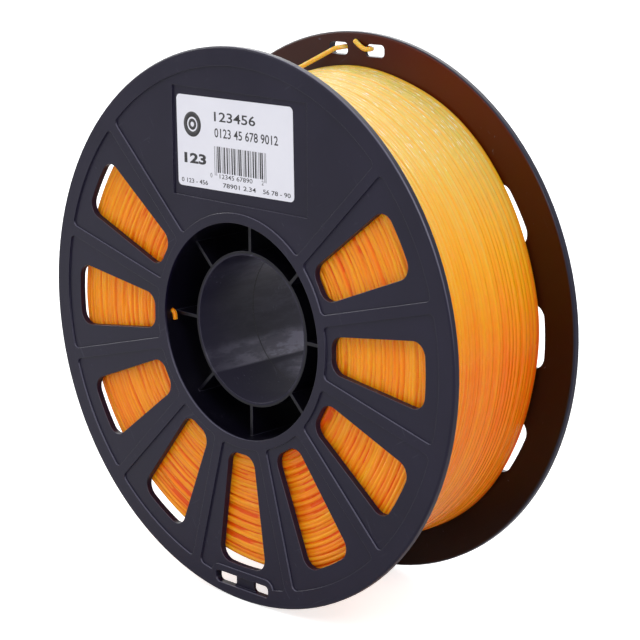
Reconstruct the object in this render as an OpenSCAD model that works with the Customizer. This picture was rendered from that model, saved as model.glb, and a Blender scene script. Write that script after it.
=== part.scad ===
// Filament spool: two identical moulded halves, wound with one strand of filament.
// +Z is up and the spool's axis is Y, with the labelled flange at -Y. The origin is the bore's centre.

/* [Spool] */
// Outside diameter of the flanges
flange_d = 200; // [195:1:215]
// Overall width over the two flanges
spool_w = 65; // [58:1:75]
// Thickness of a flange at its rim, spokes and hub ring
flange_t = 3; // [2.6:0.1:4]
// Radius of the rounded corners of the rim
rim_corner_r = 0.8; // [0.4:0.1:1.2]

/* [Hub] */
// Diameter of the bore that the spindle goes through
bore_d = 53; // [48:0.5:55]
// Wall of the bore tube
tube_wall = 1.5; // [1.2:0.1:2]
// How far the bore tube and its ribs stop short of a flange's inner face
tube_inset = 2.8; // [2.2:0.1:5]
// Outside diameter of the drum that the filament is wound on
drum_d = 82.2; // [78:0.2:86]
// Wall of the drum
drum_wall = 2.2; // [1.8:0.1:3]
// Number of ribs between the bore tube and the drum
rib_count = 8; // [6:1:12]
// Thickness of a rib
rib_t = 1.2; // [0.8:0.1:2.5]

/* [Halves' joint] */
// Height of the lips that locate one half in the other
lip_h = 2; // [1:0.1:4]
// Clearance round the lips
lip_gap = 0.1; // [0.05:0.05:0.2]
// Angle that each lip stops short of a half turn
lip_relief_deg = 3; // [2:0.5:6]
// Angle by which the rear half is pushed on out of line
rear_turn_deg = 1.2; // [0:0.1:1.6]

/* [Windows] */
// Number of equal places round a flange for windows
place_count = 12; // [11:1:13]
// Number of those places that the label field takes up
label_places = 3; // [3:1:4]
// Width of the flange between the drum and a window
window_hub_w = 3.6; // [3:0.1:6]
// Width of the flange between a window and the rim's edge
window_rim_w = 12.8; // [11:0.1:20]
// Angle between a window's two sides
window_deg = 16; // [13:0.5:18]
// Radius of a window's corners
window_corner_r = 5; // [2:0.1:5.5]

/* [Panels] */
// Depth of the sunk panels round the windows and the label
panel_depth = 0.6; // [0.5:0.1:1.2]
// Width of the ring that stands between the drum and the panels
panel_hub_w = 1.2; // [0.9:0.1:2.4]
// Width of the rim that stands outside the panels
panel_rim_w = 6.6; // [6:0.1:9]
// Width of the spokes that stand between the panels
spoke_w = 3.9; // [3:0.1:5]
// Radius of a panel's corners
panel_corner_r = 2; // [1:0.1:3]

/* [Label] */
// Width of the deeper field that takes the label
field_w = 67; // [62:0.5:68]
// Height of the field's lower edge above the drum
field_up = 4.1; // [3:0.1:5]
// Width of the flange between the field and the rim's edge
field_rim_w = 15.8; // [15:0.1:18]
// Depth of the field below its panel
field_depth = 0.6; // [0.3:0.1:0.8]
// Width of the paper label
label_w = 58; // [50:0.5:60]
// Thickness of the paper
label_t = 0.12; // [0.08:0.02:0.2]
// Radius of the label's corners
label_corner_r = 1.8; // [0.5:0.1:3]
// Distance of the label from the field's left edge
label_side_gap = 2.1; // [1:0.1:4]
// Distance of the label from the field's top edge
label_top_gap = 2.6; // [1.5:0.1:4]
// Distance of the label from the field's bottom edge
label_bottom_gap = 4; // [2:0.1:6]
// Angle by which the label is stuck askew
label_tilt_deg = 1; // [-1.5:0.25:1.5]

/* [Tie slots] */
// Distance of the tie slots' middle from the rim's edge
slot_inset = 6.4; // [6:0.1:7]
// Length of one slot
slot_len = 9.2; // [7:0.1:10]
// Width of a slot and of the groove that joins the pair
slot_w = 4.5; // [4:0.1:5]
// Distance between the middles of the two slots
slot_pitch = 18; // [17:0.5:21]
// Radius of the slots' corners
slot_corner_r = 1.6; // [0.5:0.1:2]
// Depth of the groove in the flange's outer face
groove_depth = 1.8; // [1.2:0.1:2]
// Width of the raised land round the groove
groove_land = 2.3; // [1.5:0.1:2.5]

/* [Filament] */
// Diameter of the strand
strand_d = 1.75; // [1.6:0.05:1.75]
// Distance of the wound filament's outside from the rim's edge
winding_rim_gap = 14.5; // [10:0.5:25]
// Distance from one turn to the next
turn_pitch = 1.8; // [1.76:0.01:1.9]
// Distance from one layer to the next
layer_pitch = 1.55; // [1.52:0.01:1.7]
// Gap between the winding and each flange
winding_gap = 0.2; // [0.1:0.1:0.5]
// Number of turns beside the rear flange that climb above the others
climb_turns = 5; // [3:1:8]
// Height of the last of them above the others
climb_h = 1.5; // [1:0.1:3]
// Direction, from the axis, of the hole in the drum that the strand starts from
start_deg = 179; // [170:1:190]
// Clearance round the strand in that hole
start_hole_gap = 0.3; // [0.2:0.1:0.5]

/* [Hidden] */
$fn = 128;
eps = 0.01;
over = 1;

// Flanges and hub, from the mid-plane outwards
flange_r = flange_d / 2;
half_w = spool_w / 2;
flange_in = half_w - flange_t;
tube_end = flange_in - tube_inset;
bore_r = bore_d / 2;
tube_r = bore_r + tube_wall;
drum_r = drum_d / 2;
drum_bore_r = drum_r - drum_wall;
corner_fn = 48;

// Windows and panels
place_deg = 360 / place_count;
label_span_deg = place_deg * label_places;
window_count = place_count - label_places;
first_window_deg = 90 + (label_span_deg + place_deg) / 2;
window_r_in = drum_r + window_hub_w;
window_r_out = flange_r - window_rim_w;
panel_r_in = drum_r + panel_hub_w;
panel_r_out = flange_r - panel_rim_w;
panel_floor = half_w - panel_depth;

// Label
field_floor = panel_floor - field_depth;
field_h = flange_r - field_rim_w - drum_r - field_up;
field_z = drum_r + field_up + field_h / 2;
label_h = field_h - label_top_gap - label_bottom_gap;
label_x = label_side_gap - (field_w - label_w) / 2;
label_z = field_z + (label_bottom_gap - label_top_gap) / 2;

// Tie slots
slot_r = flange_r - slot_inset;
groove_len = slot_pitch + slot_len;

// Winding
strand_r = strand_d / 2;
winding_r = flange_r - winding_rim_gap;
winding_half_w = flange_in - winding_gap;
turn_count = floor((2 * winding_half_w - strand_d) / turn_pitch) + 1;
turn_step = (2 * winding_half_w - strand_d) / (turn_count - 1);
layer_count = floor((winding_r - drum_r - strand_d) / layer_pitch) + 1;
layer_step = (winding_r - drum_r - strand_d) / (layer_count - 1);

// Distance of turn i's middle from the axis, counted from the rear flange
function turn_r(i) = winding_r - strand_r + climb_h * max(0, 1 - i / climb_turns);

// Sides of a strand's tube
strand_sides = 8;

// Outer end of the strand: it leaves the winding at a tangent, goes out through one rear slot, lies in
// the groove, comes back in through the other slot and bends up in front of the flange. A point at
// the slots is [distance outwards from the end of the bridge between them, share of the way in from
// the groove to behind the flange, height over the slots' middle].
tail_out = [[5.6, 0.9, -0.2], [3.8, 0.55, 0.3], [2.2, 0.15, 0.6], [0.8, 0, 0.7], [-2.6, 0, 0.65]];
tail_back = [[-2.6, 0, 0.55], [0.6, 0, 0.5], [1.5, 0.1, 0.5], [2.2, 0.4, 0.5], [2.2, 0.7, 0.5],
             [1.6, 0.9, 0.5], [0.6, 1, 0.7], [-0.8, 1, 1.3], [-2.3, 1, 2.2], [-4, 1, 3.4]];
tail_groove_gap = 0.03;
tail_behind = 1.4;
tail_groove_y = half_w - groove_depth + strand_r + tail_groove_gap;
tail_behind_y = flange_in - tail_behind;
bridge_half = (slot_pitch - slot_len) / 2;

// Its stretch on the winding and the straight run from there to the first slot
tail_lie_r = winding_r + strand_r;
tail_lie_deg = 4;
tail_lie_count = 3;
tail_leave_y = 16;
tail_creep_y = 0.6;
tail_run_count = 9;
tail_slot_in = tail_point(-1, tail_out[0]);
tail_leave_deg = atan2(tail_slot_in.z, tail_slot_in.x)
    + acos(tail_lie_r / norm([tail_slot_in.x, tail_slot_in.z]));
tail_leave = on_winding(0);
tail_route = concat(
    [for (i = [tail_lie_count : -1 : 1]) on_winding(i)],
    [for (i = [0 : tail_run_count - 1]) tail_leave + (tail_slot_in - tail_leave) * i / tail_run_count],
    [for (p = tail_out) tail_point(-1, p)],
    [for (p = tail_back) tail_point(1, p)]);

// Inner end of the strand: in through the drum's wall beside the first turn, and down inside it. A
// point is [distance in from the drum's outside, height over the hole].
start_points = [[0, 0], [1, 0], [2, -0.05], [2.75, -0.5], [3.15, -1.2], [3.35, -2.1], [3.45, -3.1]];
start_z = winding_half_w - strand_r;
start_at = [drum_r * cos(start_deg), -start_z, drum_r * sin(start_deg)];
start_route = [for (p = start_points) start_at + [p[0], 0, p[1]]];

// A point about the Y axis that turns with the rear half
function turned(p) = [p.x * cos(rear_turn_deg) - p.z * sin(rear_turn_deg), p.y,
                      p.x * sin(rear_turn_deg) + p.z * cos(rear_turn_deg)];

// A point of the tail at the rear slots, on the given side of the bridge
function tail_point(side, p) = turned([side * (bridge_half + p[0]),
                                       tail_groove_y + p[1] * (tail_behind_y - tail_groove_y),
                                       slot_r + p[2]]);

// The point of the tail that lies on the winding, i steps before it leaves
function on_winding(i) = [tail_lie_r * cos(tail_leave_deg + i * tail_lie_deg),
                          tail_leave_y - i * tail_creep_y,
                          tail_lie_r * sin(tail_leave_deg + i * tail_lie_deg)];

// ---------------------------------------------------------------- shapes

// A point at radius r and angle a
function polar(r, a) = [r * cos(a), r * sin(a)];

// A sector between two arcs about the X axis, whose straight sides lie side_inset inside the two rays
// at half_deg, with four rounded corners
module rounded_sector(r_in, r_out, half_deg, side_inset, corner_r) {
    inset = side_inset + corner_r;
    apex = inset / sin(half_deg);
    far = 2 * r_out / cos(half_deg / 2);
    intersection() {
        difference() {
            circle(r = r_out);
            circle(r = r_in);
        }
        translate([apex, 0])
            polygon([[0, 0], polar(far, -half_deg), [far, 0], polar(far, half_deg)]);
    }
    along_in = sqrt(pow(r_in + corner_r, 2) - pow(inset, 2));
    along_out = sqrt(pow(r_out - corner_r, 2) - pow(inset, 2));
    for (side = [0, 1])
        mirror([0, side])
            rotate(half_deg)
                translate([0, -inset]) {
                    translate([along_in, 0])
                        square([along_out - along_in, corner_r]);
                    for (along = [along_in, along_out])
                        translate([along, 0])
                            circle(r = corner_r, $fn = corner_fn);
                }
}

// A rectangle with rounded corners, centred on the origin
module rounded_rect(w, h, corner_r) {
    square([w - 2 * corner_r, h], center = true);
    square([w, h - 2 * corner_r], center = true);
    for (x = [-1, 1], y = [-1, 1])
        translate([x * (w / 2 - corner_r), y * (h / 2 - corner_r)])
            circle(r = corner_r, $fn = corner_fn);
}

// Cuts its 2D child into the outer face of a flange, down to the given height above the mid-plane
module sunk_to(floor_h) {
    translate([0, 0, floor_h])
        linear_extrude(half_w - floor_h + over)
            children();
}

// A vector made one unit long
function unit(v) = v / norm(v);

// Direction of a route at point i, from the points beside it
function heading(route, i) = unit(route[min(i + 1, len(route) - 1)] - route[max(i - 1, 0)]);

// The ring of points round point i of a route; ref is any direction that the route never takes
function strand_ring(route, i, ref) =
    let (t = heading(route, i), u = unit(cross(t, ref)), v = cross(u, t))
    [for (k = [0 : strand_sides - 1])
        route[i] + strand_r * (u * cos(k * 360 / strand_sides) + v * sin(k * 360 / strand_sides))];

// A strand swept along a route, as one closed tube
module strand(route, ref) {
    rings = len(route);
    points = [for (i = [0 : rings - 1]) each strand_ring(route, i, ref)];
    walls = [for (i = [0 : rings - 2], k = [0 : strand_sides - 1])
        let (a = i * strand_sides, b = (k + 1) % strand_sides)
        [a + k, a + b, a + strand_sides + b, a + strand_sides + k]];
    first_cap = [for (k = [0 : strand_sides - 1]) strand_sides - 1 - k];
    last_cap = [for (k = [0 : strand_sides - 1]) (rings - 1) * strand_sides + k];
    polyhedron(points, concat(walls, [first_cap, last_cap]));
}

// ---------------------------------------------------------------- one moulded half
// It is drawn on its own axis: the mid-plane is at z = 0, its flange faces +z and its label is at +y.

// The flange's disc with a rounded rim, the drum and the bore tube, turned in one profile
module turned_body() {
    rotate_extrude() {
        difference() {
            translate([drum_bore_r, flange_in])
                square([flange_r - drum_bore_r, flange_t]);
            for (h = [flange_in, half_w - rim_corner_r])
                translate([flange_r - rim_corner_r, h])
                    square([rim_corner_r + over, rim_corner_r]);
            for (h = [flange_in - over, half_w])
                translate([flange_r - rim_corner_r, h])
                    square([rim_corner_r + over, over]);
        }
        for (h = [flange_in + rim_corner_r, half_w - rim_corner_r])
            translate([flange_r - rim_corner_r, h])
                circle(r = rim_corner_r, $fn = corner_fn);
        translate([drum_bore_r, 0])
            square([drum_wall, flange_in + eps]);
        translate([bore_r, 0])
            square([tube_wall, tube_end]);
    }
}

// The ribs that carry the bore tube in the drum, level with the tube's end
module ribs() {
    for (i = [0 : rib_count - 1])
        rotate(i * 360 / rib_count)
            translate([tube_r - tube_wall / 2, -rib_t / 2, 0])
                cube([drum_bore_r - tube_r + (tube_wall + drum_wall) / 2, rib_t, tube_end]);
}

// An open ring between two radii, over nearly half a turn about the +y side
module half_ring(r_in, r_out, h) {
    linear_extrude(h)
        intersection() {
            difference() {
                circle(r = r_out);
                circle(r = r_in);
            }
            polygon([[0, 0], polar(2 * r_out, lip_relief_deg), [2 * r_out, 2 * r_out],
                     [-2 * r_out, 2 * r_out], polar(2 * r_out, 180 - lip_relief_deg)]);
        }
}

// The lip that stands out past the mid-plane from the outer half of a wall, at +y
module lip(r_out, wall) {
    translate([0, 0, -lip_h])
        half_ring(r_out - (wall - lip_gap) / 2, r_out, lip_h + eps);
}

// The rebate at -y that takes the other half's lip
module rebate(r_out, wall) {
    rotate(180)
        translate([0, 0, -over])
            linear_extrude(lip_h + lip_gap + over)
                intersection() {
                    difference() {
                        circle(r = r_out + over);
                        circle(r = r_out - (wall + lip_gap) / 2);
                    }
                    translate([-2 * r_out, 0])
                        square([4 * r_out, 2 * r_out]);
                }
}

// The sunk panel round one window, or round the label where span_deg is wider
module panel(span_deg) {
    rounded_sector(panel_r_in, panel_r_out, span_deg / 2, spoke_w / 2, panel_corner_r);
}

// The land that stays round the tie groove
module groove_outline(land) {
    translate([0, -slot_r])
        rounded_rect(groove_len + 2 * land, slot_w + 2 * land, slot_corner_r + land);
}

module moulded_half() {
    difference() {
        union() {
            turned_body();
            ribs();
            lip(drum_r, drum_wall);
            lip(tube_r, tube_wall);
        }
        rebate(drum_r, drum_wall);
        rebate(tube_r, tube_wall);
        for (i = [0 : window_count - 1])
            rotate(first_window_deg + i * place_deg)
                sunk_to(flange_in - over)
                    rounded_sector(window_r_in, window_r_out, window_deg / 2, 0, window_corner_r);
        sunk_to(panel_floor)
            difference() {
                for (i = [0 : window_count - 1])
                    rotate(first_window_deg + i * place_deg)
                        panel(place_deg);
                groove_outline(groove_land);
            }
        sunk_to(panel_floor)
            rotate(90)
                panel(label_span_deg);
        sunk_to(field_floor)
            translate([0, field_z])
                square([field_w, field_h], center = true);
        sunk_to(half_w - groove_depth)
            groove_outline(0);
        for (side = [-1, 1])
            sunk_to(flange_in - over)
                translate([side * slot_pitch / 2, -slot_r])
                    rounded_rect(slot_len, slot_w, slot_corner_r);
        rotate(start_deg)
            translate([drum_bore_r - over, 0, start_z])
                rotate([0, 90, 0])
                    cylinder(r = strand_r + start_hole_gap, h = drum_wall + 2 * over);
    }
}

// ---------------------------------------------------------------- the pieces

module front_half() {
    color([0.13, 0.13, 0.15])
        rotate([90, 0, 0])
            moulded_half();
}

module rear_half() {
    color([0.13, 0.13, 0.15])
        rotate([0, -rear_turn_deg, 0])
            rotate([-90, 0, 0])
                moulded_half();
}

// The wound filament: a ring whose outer face shows the turns and whose sides show the layers. It is
// drawn in section, with the rear flange at the bottom.
module filament_winding() {
    core_half_w = winding_half_w - strand_r;
    color([0.93, 0.6, 0.22])
        rotate([90, 0, 0])
            rotate_extrude() {
                polygon([[drum_r, -core_half_w], [turn_r(0), -core_half_w],
                         [turn_r(climb_turns), -core_half_w + climb_turns * turn_step],
                         [turn_r(climb_turns), core_half_w], [drum_r, core_half_w]]);
                for (i = [0 : turn_count - 1])
                    translate([turn_r(i), -core_half_w + i * turn_step])
                        circle(r = strand_r, $fn = 24);
                translate([winding_r - strand_r, -core_half_w])
                    circle(r = strand_r, $fn = 24);
                for (i = [0 : layer_count - 2], side = [-1, 1])
                    translate([drum_r + strand_r + i * layer_step, side * core_half_w])
                        circle(r = strand_r, $fn = 24);
            }
}

module filament_tail() {
    color([0.93, 0.6, 0.22])
        strand(tail_route, [0, 0, 1]);
}

module filament_start() {
    color([0.93, 0.6, 0.22])
        strand(start_route, [0, 1, 0]);
}

module label() {
    color([0.93, 0.93, 0.95])
        translate([label_x, -field_floor, label_z])
            rotate([90, 0, 0])
                rotate(label_tilt_deg)
                    linear_extrude(label_t)
                        rounded_rect(label_w, label_h, label_corner_r);
}

front_half();
rear_half();
filament_winding();
filament_tail();
filament_start();
label();
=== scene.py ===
"""Looks of a filament spool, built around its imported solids.

The two moulded halves and the paper label keep their solids and get their finishes. The strand of
filament is built turn by turn in the place of its plain solids, and the label gets its print.
"""
import logging
import math
from dataclasses import dataclass, field
from enum import Enum
from typing import Sequence

import bpy
import numpy as np
from mathutils import Matrix, Vector


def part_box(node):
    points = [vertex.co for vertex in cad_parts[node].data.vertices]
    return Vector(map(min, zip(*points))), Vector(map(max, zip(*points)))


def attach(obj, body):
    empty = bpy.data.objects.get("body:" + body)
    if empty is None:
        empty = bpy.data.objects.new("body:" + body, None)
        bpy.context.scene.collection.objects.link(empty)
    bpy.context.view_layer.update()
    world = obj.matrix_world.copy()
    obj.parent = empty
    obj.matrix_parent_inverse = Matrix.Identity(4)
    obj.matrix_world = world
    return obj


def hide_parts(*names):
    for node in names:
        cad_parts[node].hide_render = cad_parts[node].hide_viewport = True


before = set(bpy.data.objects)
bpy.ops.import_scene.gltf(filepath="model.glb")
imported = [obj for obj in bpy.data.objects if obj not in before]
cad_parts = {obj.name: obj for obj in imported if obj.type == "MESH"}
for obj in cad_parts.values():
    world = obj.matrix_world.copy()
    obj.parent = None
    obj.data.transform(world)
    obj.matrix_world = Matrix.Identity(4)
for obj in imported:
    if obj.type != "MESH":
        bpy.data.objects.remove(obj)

LOG = logging.getLogger("spool")
MM = 0.001
BODY = "root"
STRAND_MAP = "strand"
TONE = "tone"
POINTS_PER_V = 6.0

Span = tuple[float, float]
Fade = tuple[float, float, float, float]
Triple = tuple[float, float, float]
Colour = Triple
Socket = bpy.types.NodeSocket


class Slot(Enum):
    """Material slots of the record, passed along with the new pieces."""

    FILAMENT = "filament"
    PAPER = "paper"


class Side(Enum):
    """Side of the spool along its axis, as the sign of Y."""

    FRONT = -1.0
    REAR = 1.0


# ------------------------------------------------------------------ sizes

@dataclass(frozen=True)
class SpoolSizes:
    """Sizes and places of the spool, in metres, read from the imported solids or set as the part sets them.
    """

    flange_r: float
    half_w: float
    winding_r: float
    winding_half_w: float
    drum_r: float = 41.1 * MM
    flange_t: float = 3.0 * MM
    strand_r: float = 0.875 * MM
    climb_h: float = 1.5 * MM
    turn_count: int = 32
    layer_count: int = 28
    slot_inset: float = 6.4 * MM
    slot_pitch: float = 18.0 * MM
    slot_len: float = 9.2 * MM
    groove_depth: float = 1.8 * MM
    rear_turn: float = math.radians(1.2)

    @classmethod
    def from_frame(cls) -> "SpoolSizes":
        """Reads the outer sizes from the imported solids.

        Returns:
            The sizes.
        """
        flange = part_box("rear_half")[1]
        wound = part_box("filament_winding")[1]
        return cls(flange_r=flange.x, half_w=flange.y, winding_r=wound.x - cls.climb_h,
                   winding_half_w=wound.y)

    @property
    def flange_in(self) -> float:
        """Distance of a flange's inner face from the mid-plane."""
        return self.half_w - self.flange_t

    @property
    def slot_r(self) -> float:
        """Distance of the tie slots' middle from the axis."""
        return self.flange_r - self.slot_inset


# ------------------------------------------------------------------ meshes

def full_turn(steps: int) -> np.ndarray:
    """Even angles round a full turn, without the last one, which is the first again."""
    return np.linspace(0.0, 2.0 * np.pi, steps, endpoint=False)


def around_axis(radius: np.ndarray, angle: np.ndarray, along: np.ndarray) -> np.ndarray:
    """Points at the given radii and angles about the Y axis, at the given places along it."""
    return np.stack([radius * np.cos(angle), along, radius * np.sin(angle)], axis=-1)


def grid_faces(rows: int, columns: int, spans: int) -> np.ndarray:
    """Corners of the faces of a grid of points that closes round its columns: face (i, j) joins point
    (i, j) to its neighbours at i + 1 and j + 1, counted round.

    Args:
        rows: Number of rows of points.
        columns: Number of points in a row.
        spans: Number of rows of faces, as many as the rows where those close too, else one less.

    Returns:
        The corners' numbers, as spans by columns by 4.
    """
    i = np.arange(spans)[:, None]
    j = np.arange(columns)[None, :]
    next_i = (i + 1) % rows
    next_j = (j + 1) % columns
    return np.stack([i * columns + j, next_i * columns + j, next_i * columns + next_j,
                     i * columns + next_j], axis=-1)


@dataclass
class Surface:
    """Vertices, faces and per-vertex values of a mesh in the making, gathered as whole arrays."""

    points: list[np.ndarray] = field(default_factory=list)
    tones: list[np.ndarray] = field(default_factory=list)
    quads: list[np.ndarray] = field(default_factory=list)
    uvs: list[np.ndarray] = field(default_factory=list)
    triangles: list[np.ndarray] = field(default_factory=list)
    count: int = 0

    def add(self, points: np.ndarray, tone: np.ndarray | float, quads: np.ndarray,
            uvs: np.ndarray | None = None, triangles: np.ndarray | None = None) -> None:
        """Adds points and the faces between them.

        Args:
            points: The points, one row each.
            tone: Value of the tone attribute for each point, or one for all.
            quads: Corners of the four-sided faces, as numbers of the new points.
            uvs: Place of each of those corners on the strand's map, all at zero where it is left out.
            triangles: Corners of the three-sided faces, which lie at zero on the map.
        """
        quads = quads.reshape(-1, 4)
        self.points.append(points)
        self.tones.append(np.broadcast_to(tone, len(points)))
        self.quads.append(self.count + quads)
        self.uvs.append(np.zeros((quads.size, 2)) if uvs is None else uvs.reshape(-1, 2))
        if triangles is not None:
            self.triangles.append(self.count + triangles)
        self.count += len(points)

    def add_tube(self, path: np.ndarray, out: Sequence[float], radius: np.ndarray, sides: int,
                 tone: float) -> None:
        """Carries a circle along a path and closes its ends with fans to a middle point.

        The point at angle a round path point i is path[i] + radius * (cos a * out[i] + sin a * side[i]),
        where out[i] is made square to the path and side[i] completes the frame.

        Args:
            path: Points of the path, one row each.
            out: The direction of angle zero, which the path never takes.
            radius: Radius along the path.
            sides: Number of sides of the tube.
            tone: Value of the tone attribute.
        """
        rings = len(path)
        tangent = np.gradient(path, axis=0)
        tangent /= np.linalg.norm(tangent, axis=1, keepdims=True)
        out = np.array(out) - tangent * (tangent @ np.array(out))[:, None]
        out /= np.linalg.norm(out, axis=1, keepdims=True)
        side = np.cross(out, tangent)
        angle = full_turn(sides)[None, :, None]
        ring = radius[:, None, None] * (np.cos(angle) * out[:, None] + np.sin(angle) * side[:, None])
        points = np.concatenate([(path[:, None] + ring).reshape(-1, 3), path[:1], path[-1:]])
        length = np.concatenate([[0.0], np.cumsum(np.linalg.norm(np.diff(path, axis=0), axis=1))])
        around = np.arange(sides)[None, :]
        near = length[:-1, None] + 0.0 * around
        far = near + length[-1] / (rings - 1)
        turn = np.broadcast_to(around / sides, near.shape)
        u = np.stack([near, far, far, near], -1)
        v = np.stack([turn, turn, turn + 1.0 / sides, turn + 1.0 / sides], -1)
        here = np.arange(sides)
        following = (here + 1) % sides
        last, ends = (rings - 1) * sides, rings * sides
        fans = np.concatenate([np.stack([following, np.full(sides, ends), here], -1),
                               np.stack([last + here, np.full(sides, ends + 1), last + following], -1)])
        self.add(points, tone, grid_faces(rings, sides, rings - 1), np.stack([u, v], -1), fans)

    def add_ring(self, grid: np.ndarray, tone: np.ndarray) -> None:
        """Adds a body that is closed both ways: row i of the grid is its section at step i round the
        axis. U is the length round the axis at each point's own radius, V counts the section's points.

        Args:
            grid: Points, as steps round the axis by points round the section by 3.
            tone: Value of the tone attribute for each of them.
        """
        steps, around = grid.shape[:2]
        i = np.arange(steps)[:, None]
        j = np.arange(around)[None, :]
        length = 2.0 * np.pi * np.linalg.norm(grid[0, :, [0, 2]], axis=0) / steps
        following = np.roll(length, -1)
        u = np.stack([i * length, (i + 1) * length, (i + 1) * following, i * following], -1)
        v = np.broadcast_to(np.stack([j, j, j + 1, j + 1], -1) / POINTS_PER_V, u.shape)
        self.add(grid.reshape(-1, 3), tone.ravel(), grid_faces(steps, around, steps), np.stack([u, v], -1))

    def build(self, name: str) -> bpy.types.Object:
        """Makes the mesh object from the gathered arrays.

        Args:
            name: Name of the object and its mesh.

        Returns:
            The object, at the origin, linked to the scene.
        """
        points = np.concatenate(self.points)
        quads = np.concatenate(self.quads)
        triangles = np.concatenate([np.zeros((0, 3), int), *self.triangles])
        corners = np.concatenate([quads.ravel(), triangles.ravel()])
        starts = np.concatenate([np.arange(len(quads)) * 4, quads.size + np.arange(len(triangles)) * 3])
        mesh = bpy.data.meshes.new(name)
        mesh.vertices.add(len(points))
        mesh.vertices.foreach_set("co", points.astype(np.float32).ravel())
        mesh.loops.add(len(corners))
        mesh.loops.foreach_set("vertex_index", corners.astype(np.int32))
        mesh.polygons.add(len(starts))
        mesh.polygons.foreach_set("loop_start", starts.astype(np.int32))
        mesh.update(calc_edges=True)
        uvs = np.concatenate([*self.uvs, np.zeros((triangles.size, 2))])
        mesh.uv_layers.new(name=STRAND_MAP).data.foreach_set("uv", uvs.astype(np.float32).ravel())
        tone = mesh.attributes.new(TONE, "FLOAT", "POINT")
        tone.data.foreach_set("value", np.concatenate(self.tones).astype(np.float32))
        mesh.validate()
        mesh.shade_smooth()
        return linked(name, mesh)


def linked(name: str, data: bpy.types.ID) -> bpy.types.Object:
    """Makes an object of the data, at the origin, and links it to the scene."""
    made = bpy.data.objects.new(name, data)
    bpy.context.scene.collection.objects.link(made)
    return made


def wander(rng: np.random.Generator, angle: np.ndarray, rows: int, waves: Sequence[int]) -> np.ndarray:
    """Slow random drifts round the axis, each a sum of whole waves, so that they close on themselves.

    Args:
        rng: Source of the amplitudes and phases.
        angle: Angles at which the drifts are wanted.
        rows: Number of separate drifts.
        waves: Numbers of waves in a full turn that are added up.

    Returns:
        An array of rows by angles, with a root mean square of about one.
    """
    total = np.zeros((rows, len(angle)))
    for count in waves:
        size = rng.normal(0.0, 1.0, (rows, 1))
        phase = rng.uniform(0.0, 2.0 * np.pi, (rows, 1))
        total += size * np.sin(count * angle[None, :] + phase)
    return total / math.sqrt(0.5 * len(waves))


def smooth_path(points: np.ndarray, steps: int) -> np.ndarray:
    """Catmull-Rom curve through the points: between two points it is the cubic whose slope at each
    point is half the step from the point before it to the point after it.

    Args:
        points: Points that the curve goes through.
        steps: Number of pieces that each stretch is cut into.

    Returns:
        The points of the curve.
    """
    padded = np.concatenate([2 * points[:1] - points[1:2], points, 2 * points[-1:] - points[-2:-1]])
    before, start, end, after = (padded[i:len(padded) - 3 + i, None] for i in range(4))
    t = np.linspace(0.0, 1.0, steps, endpoint=False)[None, :, None]
    curve = 0.5 * (2 * start + (end - before) * t + (2 * before - 5 * start + 4 * end - after) * t ** 2
                   + (3 * start - before - 3 * end + after) * t ** 3)
    return np.concatenate([curve.reshape(-1, 3), points[-1:]])


def placed(piece: bpy.types.Object, slot: Slot, material: bpy.types.Material, *replaced: str) -> None:
    """Gives a new piece its material and its body, and hides the solids that it stands for.

    Args:
        piece: The finished piece.
        slot: The record's slot for its finish. Not used.
        material: Its material.
        *replaced: Nodes that the piece stands for.
    """
    dressed(piece, material)
    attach(piece, BODY)
    if replaced:
        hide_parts(*replaced)


def dressed(piece: bpy.types.Object, material: bpy.types.Material) -> None:
    """Gives a piece or a solid its material and reports it."""
    piece.data.materials.clear()
    piece.data.materials.append(material)
    LOG.info("%s: %d faces in %s", piece.name, len(piece.data.polygons), material.name)


# ------------------------------------------------------------------ shader groups

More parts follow.
